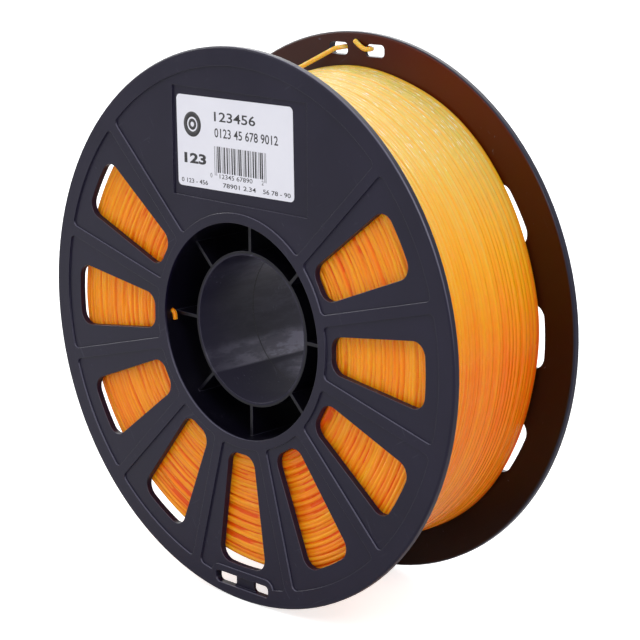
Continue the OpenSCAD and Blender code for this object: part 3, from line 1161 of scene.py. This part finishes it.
@dataclass(frozen=True)
class Winding:
    """The wound filament: turns on its outside, which climb by the rear flange, and layers on its sides."""

    sizes: SpoolSizes
    heights: WoundHeights = WoundHeights()
    outer_tone: OuterTone = OuterTone()
    side_tone: SideTone = SideTone()
    hidden_tone: float = 0.1
    hidden_outer: int = 6
    hidden_side: int = 4
    seed: int = 7
    segments: int = 320
    outer_points: int = 7
    side_points: int = 6
    outer_crest_r: float = 2.10 * MM
    side_crest_r: float = 0.98 * MM
    strand_half: float = 0.90 * MM
    steepest: float = 0.99
    body_t: float = 7.0 * MM
    turn_drift: float = 0.9 * MM
    turn_spread: float = 0.17 * MM
    height_spread: float = 0.10 * MM
    knot_spread: float = 1.2
    drift_knots: int = 7
    height_knots: int = 4
    shade_knots: int = 3
    steady_edge: float = 6.0 * MM
    ring_spread: float = 0.34 * MM
    ring_depth: float = 0.24 * MM
    ring_sink: float = 0.70 * MM
    sink_from: float = 1.25
    sink_most: float = 1.20
    side_gap: float = 0.03 * MM
    back_share: float = 0.93

    def ridges(self, place: np.ndarray, middles: np.ndarray, offsets: np.ndarray,
               crest_r: float) -> tuple[np.ndarray, np.ndarray, np.ndarray]:
        """Outline over strands that lie side by side: at each place it is the highest of the arcs, where
        an arc of radius R with its middle at m and offset h is h - R + the root of (R squared minus the
        distance from m squared).

        Args:
            place: Places across the strands, as angles by places.
            middles: Middle of each strand at each angle, as angles by strands.
            offsets: Height of each strand at each angle, likewise.
            crest_r: Radius of the arcs.

        Returns:
            The height of the outline, its place across its strand from -1 to 1, and the strand's number.
        """
        steepest = self.steepest * crest_r
        apart = np.clip(place[:, :, None] - middles[:, None, :], -steepest, steepest)
        arcs = offsets[:, None, :] - crest_r + np.sqrt(crest_r ** 2 - apart ** 2)
        best = np.argmax(arcs, axis=2)[:, :, None]
        height = np.take_along_axis(arcs, best, axis=2)[:, :, 0]
        off = np.take_along_axis(apart, best, axis=2)[:, :, 0]
        return height, np.clip(off / self.strand_half, -1.0, 1.0), best[:, :, 0]

    def running(self, rng: np.random.Generator, turns: np.ndarray, knots_per_turn: int) -> np.ndarray:
        """A smooth random value along the strand: random knots, joined by half cosine waves.

        Args:
            rng: Source of the knots.
            turns: Places along the strand, counted in turns from zero.
            knots_per_turn: Number of knots in a turn.

        Returns:
            The values, with a root mean square of about one.
        """
        knot = np.clip(turns, 0.0, None) * knots_per_turn
        low = np.floor(knot).astype(int)
        values = rng.normal(0.0, self.knot_spread, low.max() + 2)
        share = 0.5 - 0.5 * np.cos(np.pi * (knot - low))
        return values[low] * (1.0 - share) + values[low + 1] * share

    def outer_turns(self, rng: np.random.Generator) -> bpy.types.Object:
        """Builds the outermost layer: one strand side by side, whose turn k at angle a lies at an even
        pitch times (k + a / a full turn), plus a slow drift that all turns share and one of its own.

        Args:
            rng: Source of the drifts.

        Returns:
            The layer, as a closed ring with the turns as ridges on its outside.
        """
        sizes = self.sizes
        angle = full_turn(self.segments)
        column = angle[:, None]
        reach = sizes.winding_half_w - self.side_crest_r
        pitch = 2.0 * reach / sizes.turn_count
        turn = np.arange(-1, sizes.turn_count + 2)[None, :] + column / (2.0 * np.pi)
        middles = -reach + pitch * turn
        shared = wander(rng, angle, 1, (1, 2, 3))[0][:, None]
        free = np.clip((reach - np.abs(middles)) / self.steady_edge, 0.0, 1.0)
        own = self.running(rng, turn + 1.0, self.drift_knots)
        lift = self.running(rng, turn + 1.0, self.height_knots)
        middles = middles + free * (self.turn_drift * shared + self.turn_spread * own)
        count = sizes.turn_count * self.outer_points
        place = np.broadcast_to(np.linspace(-reach, reach, count), (self.segments, count))
        height, across, strand = self.ridges(place, middles, self.height_spread * lift, self.outer_crest_r)
        shade = np.take_along_axis(self.running(rng, turn + 1.0, self.shade_knots), strand, axis=1)
        rise = self.heights.at(np.broadcast_to(column, place.shape), place, sizes.winding_half_w)
        outside = around_axis(sizes.winding_r + rise + height, column, place)
        inside_y = np.tile(np.linspace(reach, -reach, self.hidden_outer), (self.segments, 1))
        inside = around_axis(np.full_like(inside_y, sizes.winding_r - self.body_t), column, inside_y)
        # The tone carries painted light and shade.
        tone = self.outer_tone.at(column, place, reach, across, shade)
        return self.ring("outer_turns", outside, inside, tone)

    def side_layers(self, rng: np.random.Generator, side: Side) -> bpy.types.Object:
        """Builds the edge turns of all layers on one side, as the windows show them.

        Layer k has its middle at the drum's radius plus an even share of the winding's height at each
        angle, and drifts a little in radius. Its depth is a small drift, and a sink wherever a slower
        drift passes a threshold.

        Args:
            rng: Source of the drifts.
            side: Which side of the spool.

        Returns:
            The side, as a closed ring with the layers as ridges on its face.
        """
        sizes = self.sizes
        rows = sizes.layer_count
        angle = full_turn(self.segments)
        column = angle[:, None]
        over = sizes.winding_r + self.heights.edge(side, angle) - self.side_gap - sizes.drum_r
        middles = sizes.drum_r + ((np.arange(rows) + 0.5) / rows)[:, None] * over
        free = (np.arange(rows) < rows - 1)[:, None]
        middles = middles + free * self.ring_spread * wander(rng, angle, rows, (1, 2, 3, 5))
        sink = np.clip(np.abs(wander(rng, angle, rows, (1, 2, 3, 4))) - self.sink_from, 0.0, self.sink_most)
        depth = self.ring_depth * np.abs(wander(rng, angle, rows, (2, 3, 5, 7))) + self.ring_sink * sink
        over_drum = np.linspace(0.0, 1.0, rows * self.side_points) * over[:, None]
        place = sizes.drum_r + over_drum
        height, across, strand = self.ridges(place, middles.T, -depth.T, self.side_crest_r)
        shade = np.take_along_axis(wander(rng, angle, rows, (1, 2, 3, 4)).T, strand, axis=1)
        back_r = sizes.drum_r + np.linspace(self.back_share, 0.0, self.hidden_side) * over[:, None]
        back_y = np.full_like(back_r, side.value * (sizes.winding_half_w - self.body_t))
        face = around_axis(place, column, side.value * (sizes.winding_half_w + height))
        back = around_axis(back_r, column, back_y)
        # The tone carries painted light and shade.
        tone = self.side_tone.at(column, over_drum, across, shade)
        return self.ring(f"{side.name.lower()}_layers", face, back, tone, turned=side is Side.FRONT)

    def ring(self, name: str, shown: np.ndarray, hidden: np.ndarray, tone: np.ndarray,
             turned: bool = False) -> bpy.types.Object:
        """Closes a shown face and a hidden one to a ring round the axis.

        Args:
            name: Name of the piece.
            shown: Points of the shown face, as angles by places by 3.
            hidden: Points of the hidden face, likewise, on from the end of the shown one.
            tone: Tone of the shown points.
            turned: Whether the section runs the other way round, so that the faces point outwards.

        Returns:
            The piece.
        """
        grid = np.concatenate([shown, hidden], axis=1)
        tone = np.concatenate([tone, np.full(hidden.shape[:2], self.hidden_tone)], axis=1)
        if turned:
            grid, tone = grid[:, ::-1], tone[:, ::-1]
        surface = Surface()
        surface.add_ring(grid, tone)
        return surface.build(name)

    def build(self, material: bpy.types.Material) -> None:
        """Builds all of the winding.

        Args:
            material: The filament.
        """
        rng = np.random.default_rng(self.seed)
        for piece in (self.outer_turns(rng), *(self.side_layers(rng, side) for side in Side)):
            placed(piece, Slot.FILAMENT, material, "filament_winding")


@dataclass(frozen=True)
class StrandEnds:
    """The two ends of the strand: the tail in the rear tie slots and the start inside the drum.

    The tail's places at the slots are the distance out of the bridge's end in millimetres, the share of
    the way from the groove to behind the flange, and the height over the slots' middle in millimetres.
    The start's are its way into the drum and its height, in millimetres.
    """

    sizes: SpoolSizes
    sides: int = 16
    steps: int = 6
    groove_gap: float = 0.03 * MM
    behind: float = 1.4 * MM
    lie_steps: int = 3
    lie_turn: float = math.radians(4.0)
    leave_y: float = 16.0 * MM
    creep_y: float = 0.6 * MM
    run_steps: int = 9
    start_turn: float = math.radians(179.0)
    cut_ease: float = 0.86
    # The tail is painted as lit, with painted glints.
    tail_tone: float = 1.6
    start_tone: float = 0.6
    going: tuple[Triple, ...] = (
        (5.6, 0.9, -0.2), (3.8, 0.55, 0.3), (2.2, 0.15, 0.6), (0.8, 0.0, 0.7), (-2.6, 0.0, 0.65))
    coming: tuple[Triple, ...] = (
        (-2.6, 0.0, 0.55), (0.6, 0.0, 0.5), (1.5, 0.1, 0.5), (2.2, 0.4, 0.5), (2.2, 0.7, 0.5),
        (1.6, 0.9, 0.5), (0.6, 1.0, 0.7), (-0.8, 1.0, 1.3), (-2.3, 1.0, 2.2), (-4.0, 1.0, 3.4))
    starting: tuple[Span, ...] = (
        (0.0, 0.0), (1.0, 0.0), (2.0, -0.05), (2.75, -0.5), (3.15, -1.2), (3.35, -2.1), (3.45, -3.1))

    def at_slots(self, side: float, spots: Sequence[Triple]) -> np.ndarray:
        """Points of the tail at the rear slots.

        Args:
            side: Side of the bridge between the slots, -1 or 1.
            spots: The tail's places there.

        Returns:
            The points, one row each.
        """
        sizes = self.sizes
        along, inward, up = np.array(spots).T
        groove_y = sizes.half_w - sizes.groove_depth + sizes.strand_r + self.groove_gap
        behind_y = sizes.flange_in - self.behind
        x = side * ((sizes.slot_pitch - sizes.slot_len) / 2 + along * MM)
        z = sizes.slot_r + up * MM
        cos, sin = math.cos(sizes.rear_turn), math.sin(sizes.rear_turn)
        y = groove_y + inward * (behind_y - groove_y)
        return np.stack([x * cos - z * sin, y, x * sin + z * cos], axis=1)

    def tail_route(self) -> np.ndarray:
        """Route of the outer end: along the winding, off it at a tangent, out through one slot, along
        the groove, back through the other slot and up in front of the flange."""
        sizes = self.sizes
        out_points = self.at_slots(-1.0, self.going)
        back_points = self.at_slots(1.0, self.coming)
        lie_r = sizes.winding_r + sizes.strand_r
        slot_in = out_points[0]
        leave = math.atan2(slot_in[2], slot_in[0]) + math.acos(lie_r / math.hypot(slot_in[0], slot_in[2]))
        step = np.arange(self.lie_steps, -1, -1)
        lying = around_axis(np.full(len(step), lie_r), leave + step * self.lie_turn,
                            self.leave_y - step * self.creep_y)
        share = np.arange(1, self.run_steps)[:, None] / self.run_steps
        run = lying[-1] + (slot_in - lying[-1]) * share
        return np.concatenate([lying, run, out_points, back_points])

    def start_route(self) -> np.ndarray:
        """Route of the inner end: in through the drum's wall beside the first turn, and down."""
        sizes = self.sizes
        into, up = np.array(self.starting).T * MM
        y = np.full(len(into), sizes.strand_r - sizes.winding_half_w)
        return np.stack([sizes.drum_r * math.cos(self.start_turn) + into, y,
                         sizes.drum_r * math.sin(self.start_turn) + up], axis=1)

    def strand(self, name: str, route: np.ndarray, out: Sequence[float], tone: float) -> bpy.types.Object:
        """Sweeps the strand along a smooth curve through a route, with its cut edges eased. The curve
        never comes nearer to the spool's outer face than the strand's radius.

        Args:
            name: Name of the piece.
            route: Points of the route.
            out: A direction that the route never takes.
            tone: Tone of the strand.

        Returns:
            The piece.
        """
        path = smooth_path(route, self.steps)
        path[:, 1] = np.minimum(path[:, 1], self.sizes.half_w - self.sizes.strand_r - self.groove_gap / 2)
        radius = np.full(len(path), self.sizes.strand_r)
        radius[[0, -1]] *= self.cut_ease
        surface = Surface()
        surface.add_tube(path, out, radius, self.sides, tone)
        return surface.build(name)

    def build(self, material: bpy.types.Material) -> None:
        """Builds both ends.

        Args:
            material: The filament.
        """
        tail = self.strand("strand_tail", self.tail_route(), (0.0, 0.0, 1.0), self.tail_tone)
        start = self.strand("strand_start", self.start_route(), (0.0, 1.0, 0.0), self.start_tone)
        placed(tail, Slot.FILAMENT, material, "filament_tail")
        placed(start, Slot.FILAMENT, material, "filament_start")


@dataclass(frozen=True)
class FigureRow:
    """A row of plain figures: the left end of its base, its height and its width, in millimetres on the
    label, and how much its outline grows, in its own units."""

    text: str
    left: float
    base: float
    height: float
    width: float
    weight: float = 0.012

    def mesh(self) -> tuple[bpy.types.Mesh, np.ndarray]:
        """Draws the figures and fits them to the row's size.

        Returns:
            The flat mesh, and the place of each of its vertices in millimetres on the label.
        """
        curve = bpy.data.curves.new("figure", "FONT")
        curve.body = self.text
        curve.offset = self.weight
        curve.resolution_u = 3
        holder = bpy.data.objects.new("figure", curve)
        mesh = bpy.data.meshes.new_from_object(holder)
        bpy.data.objects.remove(holder)
        flat = np.empty(len(mesh.vertices) * 3, np.float32)
        mesh.vertices.foreach_get("co", flat)
        flat = flat.reshape(-1, 3)[:, :2].astype(float)
        low, high = flat.min(axis=0), flat.max(axis=0)
        share = (flat - low) / (high - low)
        return mesh, share * np.array([self.width, self.height]) + np.array([self.left, self.base])


@dataclass(frozen=True)
class Label:
    """The paper label, which keeps its solid, and the generic print on it. Sizes of the print are in
    millimetres from the label's middle."""

    middle_x: float = -2.4 * MM
    middle_z: float = 65.4 * MM
    tilt: float = math.radians(1.0)
    ink_t: float = 0.012 * MM
    ink_base: float = 0.002 * MM
    bar_count: int = 30
    bar_step: float = 0.22
    gap_least: float = 0.24
    gap_step: float = 0.20
    bar_left: float = -10.0
    bar_top: float = -0.7
    bar_foot: float = -9.9
    end_bar_foot: float = -11.0
    disc_middle: Span = (-21.0, 6.0)
    disc_rings: tuple[Span, ...] = ((4.45, 2.6), (2.0, 0.9))
    disc_sides: int = 48
    rows: tuple[FigureRow, ...] = (
        FigureRow("123456", -9.7, 8.0, 3.4, 20.6), FigureRow("0123 45 678 9012", -9.7, 2.4, 3.3, 31.5, 0.010),
        FigureRow("123", -25.6, -7.9, 3.7, 11.3, 0.040), FigureRow("0", -12.3, -11.9, 1.6, 1.0, 0.0),
        FigureRow("12345 67890", -7.6, -11.9, 1.6, 16.5, 0.006), FigureRow("2", 13.4, -11.9, 1.6, 1.0, 0.0),
        FigureRow("0 123 - 456", -27.3, -14.9, 1.6, 13.6), FigureRow("78901 2.34", -6.0, -14.9, 1.6, 16.5),
        FigureRow("56 78 - 90", 14.0, -14.9, 1.6, 13.4))

    def on_paper(self, points: np.ndarray, lift: float) -> np.ndarray:
        """Turns points of the label's own plane, in millimetres, into places on the paper.

        Args:
            points: Across and up from the label's middle, one row each.
            lift: Height over the paper.

        Returns:
            The places.
        """
        cos, sin = math.cos(self.tilt), math.sin(self.tilt)
        across, up = points.T * MM
        face_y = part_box("label")[0].y
        return np.stack([self.middle_x + across * cos - up * sin, np.full(len(points), face_y - lift),
                         self.middle_z + across * sin + up * cos], axis=1)

    def prism(self, surface: Surface, outline: np.ndarray) -> None:
        """Adds a thin closed prism over a convex outline that runs anticlockwise.

        Args:
            surface: The mesh in the making.
            outline: Corners, in millimetres, in the label's own plane.
        """
        count = len(outline)
        flat = np.concatenate([outline, outline.mean(axis=0, keepdims=True)])
        points = np.concatenate([self.on_paper(flat, self.ink_t), self.on_paper(flat, self.ink_base)])
        index = np.arange(count)
        following = (index + 1) % count
        below = count + 1
        top = np.stack([index, following, np.full(count, count)], -1)
        bottom = np.stack([below + following, below + index, np.full(count, below + count)], -1)
        walls = np.stack([below + index, below + following, following, index], -1)
        surface.add(points, 0.0, walls, triangles=np.concatenate([top, bottom]))

    def bars(self) -> bpy.types.Object:
        """Builds a row of upright bars whose widths and gaps repeat by a simple rule."""
        surface = Surface()
        left = self.bar_left
        for i in range(self.bar_count):
            right = left + self.bar_step * (1 + (i * 7 + i * i) % 4)
            foot = self.bar_foot if 1 < i < self.bar_count - 2 else self.end_bar_foot
            self.prism(surface, np.array([(left, foot), (right, foot), (right, self.bar_top),
                                          (left, self.bar_top)]))
            left = right + self.gap_least + self.gap_step * ((i * 5 + 2) % 3)
        return surface.build("label_bars")

    def disc(self) -> bpy.types.Object:
        """Builds a plain round mark of two rings, one in the other."""
        surface = Surface()
        angle = full_turn(self.disc_sides)
        circle = np.stack([np.cos(angle), np.sin(angle)], -1)
        for outer, inner in self.disc_rings:
            for a, b in zip(circle, np.roll(circle, -1, axis=0)):
                corners = np.array([b * inner, b * outer, a * outer, a * inner])
                self.prism(surface, np.array(self.disc_middle) + corners)
        return surface.build("label_disc")

    def figures(self) -> bpy.types.Object:
        """Builds the plain figures, as one piece."""
        made = []
        for row in self.rows:
            mesh, flat = row.mesh()
            mesh.vertices.foreach_set("co", self.on_paper(flat, self.ink_t).astype(np.float32).ravel())
            mesh.update()
            made.append(linked("figure", mesh))
        figures = made[0]
        with bpy.context.temp_override(active_object=figures, object=figures, selected_objects=made,
                                       selected_editable_objects=made):
            bpy.ops.object.join()
        figures.name = figures.data.name = "label_figures"
        return figures

    def build(self, paper: bpy.types.Material, ink: bpy.types.Material) -> None:
        """Dresses the label and adds its print.

        Args:
            paper: The paper.
            ink: The ink.
        """
        dressed(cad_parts["label"], paper)
        for piece in (self.bars(), self.disc(), self.figures()):
            placed(piece, Slot.PAPER, ink)


# ------------------------------------------------------------------ the whole

def main() -> None:
    """Builds the camera, the studio and every piece of the spool."""
    logging.basicConfig(level=logging.INFO, format="%(name)s: %(message)s")
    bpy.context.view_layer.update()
    sizes = SpoolSizes.from_frame()
    Studio().build(sizes)
    groups = Groups.build()
    filament = Filament().material(groups)
    MouldedHalves().dress(MouldedPlastic().material(groups))
    Winding(sizes).build(filament)
    StrandEnds(sizes).build(filament)
    Label().build(Paper().material(groups), Ink().material(groups))


if __name__ == "__main__":
    main()
